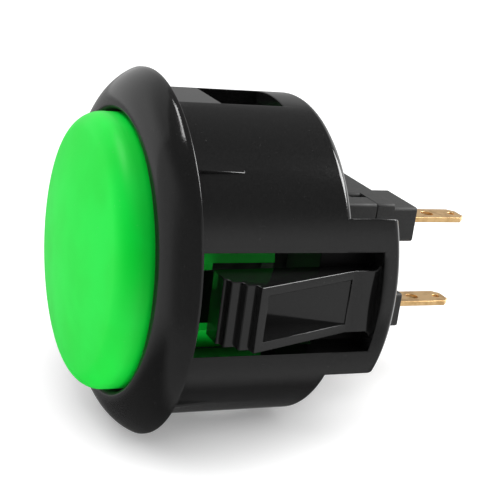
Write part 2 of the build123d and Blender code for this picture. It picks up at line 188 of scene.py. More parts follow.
class CaseSizes(bpy.types.PropertyGroup):
    """Sizes of the switch case."""

    width: length("Case width", "Case along X", 11.0)
    length: length("Case length", "Case along Y", 12.6)
    wall: length("Case wall", "Wall of the cover", 0.9)
    step: length("Case step", "Step from the case to its neck", 0.9)
    front: length("Case front", "Depth of the neck's front", 11.6)
    shoulder: length("Case shoulder", "Depth of the cover's shoulder", 14.5)
    seam: length("Case seam", "Depth of the joint of cover and base", 21.0)
    rear: length("Case rear", "Depth of the base's rear face", 22.9)
    corner_round: length("Case corner round", "Radius of the upright corners", 0.3)
    roof_hole: length("Roof hole radius", "Hole for the actuator", 2.3)
    lug_height: length("Lug height", "Height of the base's side lugs", 1.6)
    lug_edge: length("Lug edge", "Place of the lugs' free edge along X", 2.1)
    lug_gap: length("Lug gap", "Slit between a lug and the cover", 1.1)
    plug_gap: length("Plug gap", "Gap between plug and cover", 0.05)
    plug_height: length("Plug height", "Height of the base's plug", 1.8)
    plug_wall: length("Plug wall", "Wall of the base's plug", 0.8)
    boss_width: length("Boss width", "Terminal boss along X", 6.0)
    boss_length: length("Boss length", "Terminal boss along Y", 3.35)
    boss_end: length("Boss end", "Depth of the bosses' ends", 25.35)
    notch_floor: length("Notch floor", "Distance of the claw notch's floor from the middle", 4.85)
    notch_width: length("Claw notch width", "Width of the claw notch", 4.6)
    notch_start: length("Claw notch start", "Depth at which the claw notch starts", 21.4)
    slot_play: length("Terminal slot play", "Gap round a terminal in its boss", 0.05)
    edge_round: length("Case edge round", "Radius of the case's edges", 0.12)


class TerminalSizes(bpy.types.PropertyGroup):
    """Sizes of the two flat terminals."""

    offset: length("Terminal offset", "Distance of the terminals from the middle, along X", 2.5)
    spacing: length("Terminal spacing", "Distance between the terminals, along Y", 8.6)
    width: length("Terminal width", "Width of the tab", 2.8)
    thickness: length("Terminal thickness", "Thickness of the tab", 0.5)
    end: length("Terminal end", "Depth of the tab's end", 32.0)
    corner: length("Terminal corner", "Trimmed corner of the tab", 0.65)
    hole_radius: length("Terminal hole radius", "Hole through the tab", 0.6)
    hole_depth: length("Terminal hole depth", "Depth of the hole's middle", 28.35)
    dimple_radius: length("Dimple radius", "Dimple near the tab's end", 0.35)
    dimple_depth: length("Dimple depth", "Depth of the dimple's middle", 31.1)
    dimple_sink: length("Dimple sink", "How far the dimple is pressed in", 0.15)
    common_start: length("Common terminal start", "Depth of the terminal's inner end", 20.5)
    contact_start: length("Contact terminal start", "Depth of the terminal's inner end", 15.6)
    tongue_start: length("Tongue start", "Near side of the common terminal's tongue, along X", 1.9)
    tongue_end: length("Tongue end", "Far side of the common terminal's tongue, along X", 3.3)
    tongue_reach: length("Tongue reach", "Place of the tongue's end along Y", 2.35)
    shank_radius: length("Shank hole radius", "Hole for the fixed contact's shank", 0.47)
    shank_offset: length("Shank hole offset", "Place of the shank hole along X", 2.6)
    shank_depth: length("Shank hole depth", "Depth of the shank hole", 16.8)
    edge_round: length("Terminal edge round", "Radius of the punched edges", 0.05)


class SpringSizes(bpy.types.PropertyGroup):
    """Sizes of the return spring."""

    radius: length("Coil radius", "Middle of the wire to the coil's axis", 1.45)
    wire: length("Wire", "Diameter of the wire", 0.3)
    bottom: length("Spring bottom", "Depth at which the spring stands", 21.0)
    top: length("Spring top", "Depth of the spring's upper end", 14.0)
    turns: bpy.props.IntProperty(name="Turns", description="Turns of the coil", default=5, min=2)


class FinishColours(bpy.types.PropertyGroup):
    """Colours of the finishes."""

    housing: colour("Housing", "Moulded black of the housing", (0.0050, 0.0050, 0.0050))
    housing_grain: colour("Housing grain", "Lighter grain in the housing", (0.0095, 0.0095, 0.0095))
    dust: colour("Dust", "Fine dust on the black mouldings", (0.06, 0.06, 0.058))
    plunger: colour("Plunger", "Bright green of the plunger", (0.0, 0.93, 0.062))
    plunger_deep: colour("Plunger shade", "Deeper green in the moulding", (0.0, 0.86, 0.047))
    plunger_speck: colour("Plunger specks", "Fine pale specks in the moulding", (0.35, 0.75, 0.4))
    switch: colour("Switch", "Dull black of the switch case", (0.016, 0.016, 0.016))
    switch_grain: colour("Switch grain", "Lighter grain in the switch case", (0.034, 0.034, 0.033))
    brass: colour("Brass", "Clean brass of the terminals", (0.97, 0.66, 0.32))
    brass_stain: colour("Brass stain", "Browned brass", (0.60, 0.35, 0.135))
    bronze: colour("Bronze", "Springy bronze of the lever", (0.70, 0.38, 0.18))
    bronze_stain: colour("Bronze stain", "Darker bronze", (0.44, 0.21, 0.09))
    steel: colour("Steel", "Spring wire", (0.60, 0.60, 0.61))
    steel_stain: colour("Steel stain", "Darker spring wire", (0.36, 0.36, 0.37))
    silver: colour("Silver", "Contact rivets", (0.82, 0.81, 0.78))
    silver_stain: colour("Silver stain", "Tarnish on the rivets", (0.50, 0.48, 0.43))
    actuator: colour("Actuator", "Black of the actuator", (0.012, 0.012, 0.012))
    actuator_shade: colour("Actuator shade", "Rubbed black of the actuator", (0.03, 0.03, 0.029))
    floor: colour("Floor", "Pale floor", (0.90, 0.90, 0.90))


class ButtonSettings(bpy.types.PropertyGroup):
    """All settings of the push button."""

    housing: settings_of(HousingSizes, "Housing", "Sizes of the housing")
    clip: settings_of(ClipSizes, "Clips", "Sizes of the clips and claws")
    plunger: settings_of(PlungerSizes, "Plunger", "Sizes of the plunger")
    case: settings_of(CaseSizes, "Switch case", "Sizes of the switch case")
    terminal: settings_of(TerminalSizes, "Terminals", "Sizes of the terminals")
    spring: settings_of(SpringSizes, "Spring", "Sizes of the return spring")
    colours: settings_of(FinishColours, "Colours", "Colours of the finishes")


def in_mm(group):
    """The values of a property group, with its lengths in millimetres."""
    values = {}
    for key in group.__annotations__:
        unit = MM if group.bl_rna.properties[key].unit == "LENGTH" else 1
        values[key] = getattr(group, key) / unit
    return types.SimpleNamespace(**values)


# Outlines: lists of flat points

def tangent_arc(start, heading, end, steps):
    """Points on the arc that leaves start at a heading in degrees and arrives at end."""
    chord = math.degrees(math.atan2(end[1] - start[1], end[0] - start[0]))
    half = math.radians((chord - heading + 180) % 360 - 180)
    radius = math.dist(start, end) / (2 * math.sin(half))
    first = math.radians(heading - 90)
    centre = (start[0] - radius * math.cos(first), start[1] - radius * math.sin(first))
    angles = [first + 2 * half * step / steps for step in range(steps + 1)]
    return [(centre[0] + radius * math.cos(a), centre[1] + radius * math.sin(a)) for a in angles]


def rounded_corner(before, corner, after, radius, steps=6):
    """The arc that takes a corner's place in an outline."""
    corner = Vector(corner)
    back = (Vector(before) - corner).normalized()
    ahead = (Vector(after) - corner).normalized()
    reach = radius / math.tan(back.angle(ahead) / 2)
    heading = math.degrees(math.atan2(-back.y, -back.x))
    return tangent_arc(tuple(corner + back * reach), heading, tuple(corner + ahead * reach), steps)


def rounded_outline(points, radii, steps=6):
    """An outline whose corners are rounded, each by its own radius."""
    outline = []
    for place, radius in enumerate(radii):
        before, corner, after = (points[(place + step) % len(points)] for step in (-1, 0, 1))
        if radius:
            outline += rounded_corner(before, corner, after, radius, steps)
        else:
            outline.append(corner)
    return outline


def rectangle(width, height, centre=(0, 0)):
    """A rectangle about its centre."""
    x, y = centre
    return [
        (x - width / 2, y - height / 2),
        (x + width / 2, y - height / 2),
        (x + width / 2, y + height / 2),
        (x - width / 2, y + height / 2),
    ]


def smaller(size, wall):
    """A flat size with a wall taken off all round."""
    return [value - 2 * wall for value in size]


def circle(radius, centre=(0, 0), steps=48):
    """Points round a circle."""
    angles = [2 * math.pi * step / steps for step in range(steps)]
    return [(centre[0] + radius * math.cos(a), centre[1] + radius * math.sin(a)) for a in angles]


# Forms: closed meshes in millimetres

def lathe(outline, segments):
    """A closed outline of radius and height, turned about the Z axis."""
    form = bmesh.new()
    rings = []
    for step in range(segments):
        angle = 2 * math.pi * step / segments
        x, y = math.cos(angle), math.sin(angle)
        rings.append([form.verts.new((radius * x, radius * y, z)) for radius, z in outline])
    for step, ring in enumerate(rings):
        beside = rings[(step + 1) % segments]
        for place, point in enumerate(outline):
            last = place - 1
            on_axis = point[0] == 0 and outline[last][0] == 0
            if not on_axis:
                form.faces.new((ring[last], ring[place], beside[place], beside[last]))
    bmesh.ops.remove_doubles(form, verts=form.verts, dist=MERGE_DISTANCE)
    bmesh.ops.recalc_face_normals(form, faces=form.faces)
    return form


def prism(outline, low, high, axis="Z"):
    """A flat outline carried along an axis from one height to another."""
    order = {"X": (2, 0, 1), "Y": (0, 2, 1), "Z": (0, 1, 2)}[axis]
    form = bmesh.new()
    ends = []
    for height in (low, high):
        corners = [(u, v, height) for u, v in outline]
        ends.append([form.verts.new([corner[i] for i in order]) for corner in corners])
        form.faces.new(ends[-1])
    for place in range(len(outline)):
        form.faces.new((ends[0][place - 1], ends[0][place], ends[1][place], ends[1][place - 1]))
    bmesh.ops.recalc_face_normals(form, faces=form.faces)
    return form


def block(low, high):
    """A box from its lowest to its highest corner."""
    outline = [(low[0], low[1]), (high[0], low[1]), (high[0], high[1]), (low[0], high[1])]
    return prism(outline, low[2], high[2])


def rounded_block(size, radius, low, high, centre=(0, 0)):
    """A box from one height to another, whose upright edges are rounded."""
    return prism(rounded_outline(rectangle(*size, centre), (radius,) * 4), low, high)


def mirrored(form, axis):
    """A mirrored copy of a form."""
    copy = form.copy()
    flip = [-1 if name == axis else 1 for name in "XYZ"]
    bmesh.ops.scale(copy, vec=flip, verts=copy.verts)
    bmesh.ops.reverse_faces(copy, faces=copy.faces)
    return copy


def on_both_sides(form, axis="X"):
    """A form and its mirror image."""
    return [form, mirrored(form, axis)]


def loose_object(form, name):
    """Puts a form into an object of its own."""
    mesh = bpy.data.meshes.new(name)
    form.to_mesh(mesh)
    form.free()
    thing = bpy.data.objects.new(name, mesh)
    bpy.context.scene.collection.objects.link(thing)
    return thing


def discard(thing):
    """Removes an object with its mesh."""
    mesh = thing.data
    bpy.data.objects.remove(thing)
    bpy.data.meshes.remove(mesh)


def combine(form, tools, operation):
    """Joins, cuts or intersects a form with each tool in turn."""
    body = loose_object(form, "work")
    helpers = [loose_object(tool, "tool") for tool in tools]
    for helper in helpers:
        step = body.modifiers.new("step", "BOOLEAN")
        step.operation = operation
        step.solver = "EXACT"
        step.object = helper
    result = bmesh.new()
    result.from_object(body, bpy.context.evaluated_depsgraph_get())
    for thing in [body, *helpers]:
        discard(thing)
    if not result.faces:
        raise RuntimeError("a form came out empty")
    bmesh.ops.remove_doubles(result, verts=result.verts, dist=MERGE_DISTANCE)
    bmesh.ops.dissolve_degenerate(result, edges=result.edges, dist=MERGE_DISTANCE)
    return result


def join(form, *tools):
    """One closed form from several."""
    return combine(form, tools, "UNION")


def cut(form, *tools):
    """A form with the tools' space taken out."""
    return combine(form, tools, "DIFFERENCE")


def soften(form, radius, steps=2, sharpest=SHARP_ANGLE):
    """Rounds the outward edges that are sharp."""
    edges = [
        edge for edge in form.edges
        if edge.is_manifold and edge.calc_face_angle_signed(0) > sharpest
    ]
    bmesh.ops.bevel(
        form, geom=edges, offset=radius, offset_type="OFFSET", segments=steps,
        profile=0.5, affect="EDGES", clamp_overlap=False,
    )
    bmesh.ops.dissolve_degenerate(form, edges=form.edges, dist=MERGE_DISTANCE)
    return form


def make_piece(form, name, body, finish):
    """Turns a form into a finished piece that stands for the node of the same name."""
    open_edges = sum(1 for edge in form.edges if not edge.is_manifold)
    if open_edges:
        raise RuntimeError(f"{name} has {open_edges} open edges")
    bmesh.ops.scale(form, vec=(MM, MM, MM), verts=form.verts)
    for face in form.faces:
        face.smooth = True
    piece = loose_object(form, name + "_visual")
    piece.data.set_sharp_from_angle(angle=SHARP_ANGLE)

    # Even normals, kept in the mesh itself
    even = piece.modifiers.new("even", "WEIGHTED_NORMAL")
    even.keep_sharp = True
    graph = bpy.context.evaluated_depsgraph_get()
    rough = piece.data
    piece.data = bpy.data.meshes.new_from_object(piece.evaluated_get(graph))
    piece.modifiers.clear()
    bpy.data.meshes.remove(rough)
    piece.data.name = name + "_visual"

    piece.data.materials.clear()
    piece.data.materials.append(finish)
    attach(piece, body)
    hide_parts(name)
    return piece


# Finishes: procedural materials

class Value:
    """A shader socket that takes part in Python sums."""

    def __init__(self, nodes, socket):
        self.nodes = nodes
        self.socket = socket

    def __add__(self, other):
        return self.nodes.maths("ADD", self, other)

    def __radd__(self, other):
        return self.nodes.maths("ADD", other, self)

    def __sub__(self, other):
        return self.nodes.maths("SUBTRACT", self, other)

    def __rsub__(self, other):
        return self.nodes.maths("SUBTRACT", other, self)

    def __mul__(self, other):
        return self.nodes.maths("MULTIPLY", self, other)

    def __rmul__(self, other):
        return self.nodes.maths("MULTIPLY", other, self)


class Nodes:
    """A node tree, written node by node."""

    def __init__(self, owner):
        owner.use_nodes = True
        self.tree = owner.node_tree
        self.tree.nodes.clear()

    def node(self, kind, settings=None, sockets=None, output=0):
        """Adds a node: its settings first, then the values or links of its sockets."""
        node = self.tree.nodes.new(kind)
        for key, value in (settings or {}).items():
            setattr(node, key, value)
        for key, value in (sockets or {}).items():
            if isinstance(value, Value):
                self.tree.links.new(value.socket, node.inputs[key])
            else:
                node.inputs[key].default_value = value
        return Value(self, node.outputs[output]) if node.outputs else None

    def maths(self, operation, first, second):
        """A Math node on two values."""
        return self.node("ShaderNodeMath", {"operation": operation}, {0: first, 1: second})

    def ease(self, value, low, high, first=0.0, last=1.0):
        """A value carried smoothly from one range to another."""
        ranges = {"From Min": low, "From Max": high, "To Min": first, "To Max": last}
        settings = {"interpolation_type": "SMOOTHSTEP"}
        return self.node("ShaderNodeMapRange", settings, {"Value": value, **ranges})


class Finish(Nodes):
    """A material and its node tree."""

    # Places of the Mix node's colour sockets, whose names are those of its other sockets too
    mix_share, mix_first, mix_second, mix_result = 0, 6, 7, 2

    def __init__(self, name):
        self.material = bpy.data.materials.new(name)
        super().__init__(self.material)

    def place(self, stretch=(1, 1, 1)):
        """The place on the piece in millimetres, stretched along the axes."""
        here = self.node("ShaderNodeTexCoord", output="Object")
        factors = [value / MM for value in stretch]
        return self.node("ShaderNodeVectorMath", {"operation": "MULTIPLY"}, {0: here, 1: factors})

    def noise(self, size, detail=2, stretch=(1, 1, 1), rough=0.5):
        """Even noise from 0 to 1, with features of a size in millimetres."""
        texture = {"Scale": 1 / size, "Detail": detail, "Roughness": rough}
        return self.node("ShaderNodeTexNoise", {}, {"Vector": self.place(stretch), **texture})

    def blend(self, share, first, second):
        """A colour between two others."""
        def full(tint):
            return tint if isinstance(tint, Value) else (*tint, 1)
        sockets = {
            self.mix_share: share, self.mix_first: full(first), self.mix_second: full(second)
        }
        return self.node("ShaderNodeMix", {"data_type": "RGBA"}, sockets, output=self.mix_result)

    def bump(self, height, depth):
        """A normal bent by a height, whose depth is in millimetres."""
        return self.node("ShaderNodeBump", {}, {"Height": height, "Distance": depth * MM})

    def close(self, **sockets):
        """Ends the tree in one shader, and returns the material."""
        named = {key.replace("_", " "): value for key, value in sockets.items()}
        shader = self.node("ShaderNodeBsdfPrincipled", {}, named)
        self.node("ShaderNodeOutputMaterial", {}, {"Surface": shader})
        return self.material


def moulded_black(colours, crest):
    """Black moulding: grain that is stronger on the flange, a dull mouth inside the crest, dust."""
    finish = Finish("moulded black")
    grain = finish.noise(size=0.16, detail=3)
    flow = finish.noise(size=5.0, detail=2, stretch=(1, 1, 0.45))
    level = finish.node("ShaderNodeSeparateXYZ", {}, {0: finish.place()}, output="Z")
    flange = finish.ease(level, -0.3, 0.2)
    measure = {"operation": "LENGTH"}
    across = finish.place((1, 1, 0))
    radius = finish.node("ShaderNodeVectorMath", measure, {0: across}, output="Value")
    fade = 0.25
    mouth = finish.ease(radius, crest, crest - fade)
    specks = finish.ease(finish.noise(size=0.22, detail=1), 0.735, 0.78)
    patches = finish.ease(flow, 0.4, 0.65)
    tint = finish.blend(finish.ease(grain, 0.3, 0.75), colours.housing, colours.housing_grain)
    tint = finish.blend(specks * (0.15 + 0.35 * patches), tint, colours.dust)
    roughness = 0.06 + 0.05 * grain + 0.04 * flow + 0.5 * mouth
    height = grain * (0.6 + 0.8 * flange) + 0.5 * flow
    return finish.close(
        Base_Color=tint, Roughness=roughness, IOR=1.5, Specular_IOR_Level=0.4,
        Normal=finish.bump(height, depth=0.0035),
    )


def moulded_green(colours):
    """Bright green moulding with a satin skin and faint flow marks."""
    finish = Finish("moulded green")
    grain = finish.noise(size=0.13, detail=2)
    flow = finish.noise(size=6.0, detail=2)
    specks = finish.ease(finish.noise(size=0.3, detail=1), 0.76, 0.8)
    tint = finish.blend(finish.ease(flow, 0.3, 0.7), colours.plunger, colours.plunger_deep)
    tint = finish.blend(specks * 0.12, tint, colours.plunger_speck)
    roughness = 0.34 + 0.08 * grain + 0.06 * flow
    return finish.close(
        Base_Color=tint, Roughness=roughness, IOR=1.49, Specular_IOR_Level=0.25,
        Normal=finish.bump(grain, depth=0.002),
    )


def dull_black(colours):
    """Dull black of the switch case: coarse grain, smoother rubbed patches and dust."""
    finish = Finish("switch black")
    grain = finish.noise(size=0.12, detail=3, rough=0.6)
    rubbed = finish.ease(finish.noise(size=1.6, detail=3), 0.45, 0.75)
    specks = finish.ease(finish.noise(size=0.2, detail=1), 0.72, 0.77)
    tint = finish.blend(finish.ease(grain, 0.3, 0.7), colours.switch, colours.switch_grain)
    tint = finish.blend(specks * 0.4, tint, colours.dust)
    roughness = 0.55 + 0.12 * grain - 0.08 * rubbed
    return finish.close(
        Base_Color=tint, Roughness=roughness, IOR=1.5, Normal=finish.bump(grain, depth=0.008)
    )


def rolled_metal(name, clean, stain, size, stretch, roughest):
    """Rolled or drawn metal: long fine marks, cloudy stain and uneven gloss."""
    finish = Finish(name)
    marks = finish.noise(size, detail=3, stretch=stretch)
    cloud = finish.noise(size=0.9, detail=3)
    tint = finish.blend(finish.ease(cloud, 0.42, 0.75) * 0.7 + 0.2 * marks, clean, stain)
    spread = 0.16
    roughness = (roughest - spread) + spread * marks + 0.06 * cloud
    return finish.close(
        Base_Color=tint, Metallic=1.0, Roughness=roughness, Normal=finish.bump(marks, depth=0.004)
    )


def slider_black(colours):
    """Black slider plastic with a waxy, rubbed skin."""
    finish = Finish("slider black")
    grain = finish.noise(size=0.15, detail=2)
    flow = finish.noise(size=1.8, detail=2)
    tint = finish.blend(finish.ease(flow, 0.35, 0.7), colours.actuator, colours.actuator_shade)
    return finish.close(
        Base_Color=tint, Roughness=0.35 + 0.15 * grain, IOR=1.48,
        Normal=finish.bump(grain, depth=0.003),
    )


# Operators

def button_settings(context):
    """The push button's settings in the scene."""
    return context.scene.push_button


class HousingOperator(bpy.types.Operator):
    """Turns flange and barrel, adds ears, cuts the openings and moulds on clips, claws and ribs"""

    bl_idname = "push_button.make_housing"
    bl_label = "Make housing"

    # Steps round the axis, and along the arcs of the flange's slope, mouth and lip and of corners
    segments = 252
    slope_steps, mouth_steps, lip_steps, corner_steps = 14, 12, 3, 8

    # Stepped teeth on each clip, below its ridge, and how much rounder the ribs' edges are
    teeth = 2
    rib_softness = 1.5

    # In millimetres: the ears stand out of the barrel by a hair, so that no two faces coincide,
    # and the channels run a little way into the hook slots
    ear_step = 0.004
    channel_overlap = 0.5

    def execute(self, context):
        settings = button_settings(context)
        sizes = in_mm(settings.housing)
        form = self.barrel(sizes)
        form = join(form, *on_both_sides(self.ear(sizes)))
        form = cut(form, *self.openings(sizes))
        form = soften(form, sizes.edge_round)
        clip = in_mm(settings.clip)
        additions = [*on_both_sides(self.clip(clip, sizes)), *on_both_sides(self.claw(clip, sizes))]
        form = join(form, *additions, *self.ribs(sizes))
        finish = moulded_black(settings.colours, sizes.bore_radius + sizes.crest_width)
        make_piece(form, "housing", "case", finish)
        return {"FINISHED"}

    def barrel(self, sizes):
        """Flange, barrel and rear plate."""
        rim = (sizes.flange_radius, sizes.flange_lip)
        crest = (sizes.bore_radius + sizes.crest_width, sizes.flange_height)
        mouth = (sizes.bore_radius, sizes.flange_height - sizes.mouth_drop)

        # The slope is an arc, which leaves its chord and comes back to it at the angle bow
        chord = math.dist(rim, crest)
        bow = math.degrees(2 * math.atan(2 * sizes.flange_bulge / chord))
        slope = math.degrees(math.atan2(crest[1] - rim[1], crest[0] - rim[0]))

        inside = sizes.neck_width / 2 - CLEAR
        rear = -sizes.barrel_depth
        corner = (sizes.barrel_radius, rear)
        foot, lip = (sizes.barrel_radius, 0), (sizes.flange_radius, 0)
        outline = [
            *tangent_arc(rim, slope - bow, crest, self.slope_steps),
            *tangent_arc(crest, slope + bow, mouth, self.mouth_steps)[1:],
            (sizes.bore_radius, rear + sizes.plate),
            (inside, rear + sizes.plate),
            (inside, rear),
            *rounded_corner((inside, rear), corner, foot, sizes.rear_round),
            foot,
            *rounded_corner(foot, lip, rim, sizes.edge_round, self.lip_steps),
        ]
        return lathe(outline, self.segments)

    def ear(self, sizes):
        """Block with radial sides that carries the barrel's round side on behind the rear plate."""
        top = sizes.plate / 2 - sizes.barrel_depth
        spread = sizes.ear_width / math.sqrt(4 * sizes.barrel_radius**2 - sizes.ear_width**2)
        near, far = sizes.ear_inside, sizes.flange_radius
        corners = ((near, -1), (far, -1), (far, 1), (near, 1))
        outline = [(reach, side * reach * spread) for reach, side in corners]
        wedge = prism(outline, -sizes.ear_end - CLEAR, top)
        proud = sizes.barrel_radius + self.ear_step
        edge = (proud, -sizes.ear_end)
        section = [
            (0, top + CLEAR),
            (0, -sizes.ear_end),
            *rounded_corner((0, -sizes.ear_end), edge, (proud, top), sizes.rear_round),
            (proud, top + CLEAR),
        ]
        ear = combine(wedge, [lathe(section, self.segments)], "INTERSECT")
        return soften(ear, sizes.edge_round)

    def openings(self, sizes):
        """Tools for windows, hook slots, channels and the switch's neck."""
        far = sizes.flange_radius + CLEAR
        half = sizes.window_width / 2
        window = block((sizes.window_floor, -half, -sizes.window_end), (far, half, 0))
        half = sizes.slot_width / 2
        wall = sizes.barrel_radius - sizes.bore_radius
        slot = block(
            (-half, sizes.bore_radius - wall, -sizes.slot_end), (half, far, -sizes.slot_start)
        )
        channel_end = -sizes.slot_start - self.channel_overlap
        channel = block((-half, sizes.channel_floor, channel_end), (half, far, 0))
        rear = -sizes.barrel_depth
        neck = prism(
            rectangle(sizes.neck_width, sizes.neck_length), rear - CLEAR, rear + sizes.plate + CLEAR
        )
        return [
            *on_both_sides(window), *on_both_sides(slot, "Y"), *on_both_sides(channel, "Y"), neck
        ]

    def ribs(self, sizes):
        """Four low wedges behind the flange, highest towards the flange and the clip."""
        half = sizes.rib_width / 2
        end, root = -sizes.rib_length, sizes.flange_lip / 2
        corners = [(-half, end), (half, end), (half, root), (-half, root)]
        outline = rounded_outline(corners, (0, sizes.rib_round, 0, 0), self.corner_steps)
        chord = math.sqrt(sizes.barrel_radius**2 - half**2)
        rib = prism(outline, sizes.bore_radius + CLEAR, chord, "X")

        # The outer face leans down away from the clip and towards the free end
        for vert in rib.verts:
            if vert.co.x > chord - MERGE_DISTANCE:
                lean = (sizes.rib_height - sizes.rib_side) * (half - vert.co.y) / sizes.rib_width
                vert.co.x += sizes.rib_side + lean + sizes.rib_fall * vert.co.z / sizes.rib_length

        soften(rib, self.rib_softness * sizes.edge_round)
        bmesh.ops.rotate(rib, matrix=Matrix.Rotation(sizes.rib_angle, 3, "Z"), verts=rib.verts)
        return [form for side in on_both_sides(rib, "Y") for form in on_both_sides(side)]

    def clip(self, clip, sizes):
        """Snap clip with stepped teeth, a ridge, a pocket behind it and fillets at its root."""
        depth = clip.nose_depth + clip.nose_land
        reach = clip.nose_outside
        steps = [(clip.nose_outside, -clip.nose_depth), (reach, -depth)]
        for _ in range(self.teeth):
            reach += clip.tooth_rise
            steps.append((reach, -depth - clip.tooth_slope))
            depth += clip.tooth_pitch
            steps.append((reach, -depth))
        ridge = (reach + clip.tooth_rise, -depth - clip.tooth_slope)
        outline = [
            (clip.root_inside, -clip.root_depth),
            (clip.root_inside, -clip.bend_depth),
            (clip.nose_inside, -clip.nose_depth),
            *steps,
            ridge,
            (clip.root_outside, -clip.bend_depth),
            (clip.root_outside, -clip.root_depth),
        ]
        tongue = prism(outline, -clip.width / 2, clip.width / 2, "Y")
        front = ridge[1] - clip.pocket_border
        far = ridge[0] + CLEAR
        end = clip.pocket_end_border - clip.bend_depth
        wedge = [
            (clip.root_outside - clip.pocket_drop, front),
            (far, front),
            (far, end),
            (clip.root_outside - clip.pocket_end_drop, end),
        ]
        half = clip.width / 2 - clip.pocket_border
        pocket = prism(wedge, -half, half, "Y")
        side, foot = clip.width / 2, -sizes.window_end
        wide, high = side + clip.root_fillet, foot + clip.root_fillet
        downwards = -90
        corner = [
            *tangent_arc((side, high), downwards, (wide, foot), self.corner_steps),
            (wide, -clip.root_depth),
            (0, -clip.root_depth),
            (0, high),
        ]
        foot_side = prism(corner, clip.root_inside, clip.root_outside, "X")
        tongue = join(tongue, *on_both_sides(foot_side, "Y"))
        return soften(cut(tongue, pocket), clip.edge_round)

    def claw(self, clip, sizes):
        """Claw that holds the switch in the rear."""
        top = sizes.plate / 2 - sizes.barrel_depth
        outside = clip.claw_inside + clip.claw_thickness
        outline = [
            (clip.claw_inside, top),
            (clip.claw_inside, -clip.claw_catch_depth),
            (clip.claw_inside - clip.claw_catch, -clip.claw_catch_depth),
            (clip.claw_inside, -clip.claw_end),
            (outside, -clip.claw_end),
            (outside, top),
        ]
        half = clip.claw_width / 2
        return soften(prism(outline, -half, half, "Y"), clip.edge_round)


class PlungerOperator(bpy.types.Operator):
    """Turns the domed cap and skirt, and adds hooked legs, notches and the stem"""

    bl_idname = "push_button.make_plunger"
    bl_label = "Make plunger"

    # Steps round the axis, and along the arcs of shoulder and crown
    segments = 192
    shoulder_steps, crown_steps = 14, 16

    def execute(self, context):
        settings = button_settings(context)
        sizes = in_mm(settings.plunger)
        form = cut(self.cap(sizes), *self.gaps(sizes))
        form = soften(form, sizes.edge_round)
        form = join(form, *on_both_sides(self.hook(sizes), "Y"), self.stem(sizes))
        finish = moulded_green(settings.colours)
        piece = make_piece(form, "plunger", "plunger", finish)
        piece.visible_diffuse = False  # keeps a green tint off the floor
        return {"FINISHED"}

    def cap(self, sizes):
        """Dome, shoulder and skirt."""
        # The crown is an arc that runs on smoothly from the shoulder's arc, from edge to the axis
        inset = sizes.radius - sizes.shoulder_round
        rise = sizes.height - sizes.shoulder_height
        crown = (inset**2 + rise**2 - sizes.shoulder_round**2) / (2 * (rise - sizes.shoulder_round))
        share = crown / (crown - sizes.shoulder_round)
        middle = sizes.height - crown
        edge = (inset * share, middle + (sizes.shoulder_height - middle) * share)
        upwards = 90
        turned = math.degrees(math.atan2(edge[1] - sizes.shoulder_height, edge[0] - inset))

        inside = sizes.radius - sizes.wall
        outline = [
            *tangent_arc(
                (sizes.radius, sizes.shoulder_height), upwards, edge, self.shoulder_steps
            ),
            *tangent_arc(edge, upwards + turned, (0, sizes.height), self.crown_steps)[1:-1],
            (0, sizes.height),
            (0, sizes.ceiling),
            (inside, sizes.ceiling),
            (inside, -sizes.skirt_depth),
            (sizes.radius, -sizes.skirt_depth),
        ]
        return lathe(outline, self.segments)

    def gaps(self, sizes):
        """Tools for the slits beside the legs, and for the notches by the clips."""
        far = sizes.radius + CLEAR
        below = -sizes.skirt_depth - CLEAR
        side = sizes.leg_width / 2
        slit = block((side, -far, below), (side + sizes.slit_width, far, -sizes.slit_top))
        half = sizes.notch_width / 2
        notch = block((sizes.radius - 2 * sizes.wall, -half, below), (far, half, -sizes.notch_top))
        return [*on_both_sides(slit), *on_both_sides(notch)]

    def hook(self, sizes):
        """Hook on the outside of a leg."""
        root = sizes.radius - sizes.wall / 2
        tip = sizes.radius + sizes.hook_reach
        outline = [
            (root, -sizes.hook_depth),
            (tip, -sizes.hook_depth),
            (tip, -sizes.hook_depth - sizes.hook_land),
            (sizes.radius, -sizes.hook_end),
            (root, -sizes.hook_end),
        ]
        half = sizes.hook_width / 2
        return soften(prism(outline, -half, half, "X"), sizes.edge_round)

    def stem(self, sizes):
        """Cross-shaped stem under the cap."""
        wide, thin = sizes.stem_width / 2, sizes.stem_rib / 2
        outline = []
        for turn_x, turn_y in ((1, 0), (0, 1), (-1, 0), (0, -1)):
            for along, across in ((wide, -thin), (wide, thin), (thin, thin)):
                outline.append((along * turn_x - across * turn_y, along * turn_y + across * turn_x))
        return soften(prism(outline, -sizes.stem_depth, sizes.ceiling + SINK), sizes.edge_round)


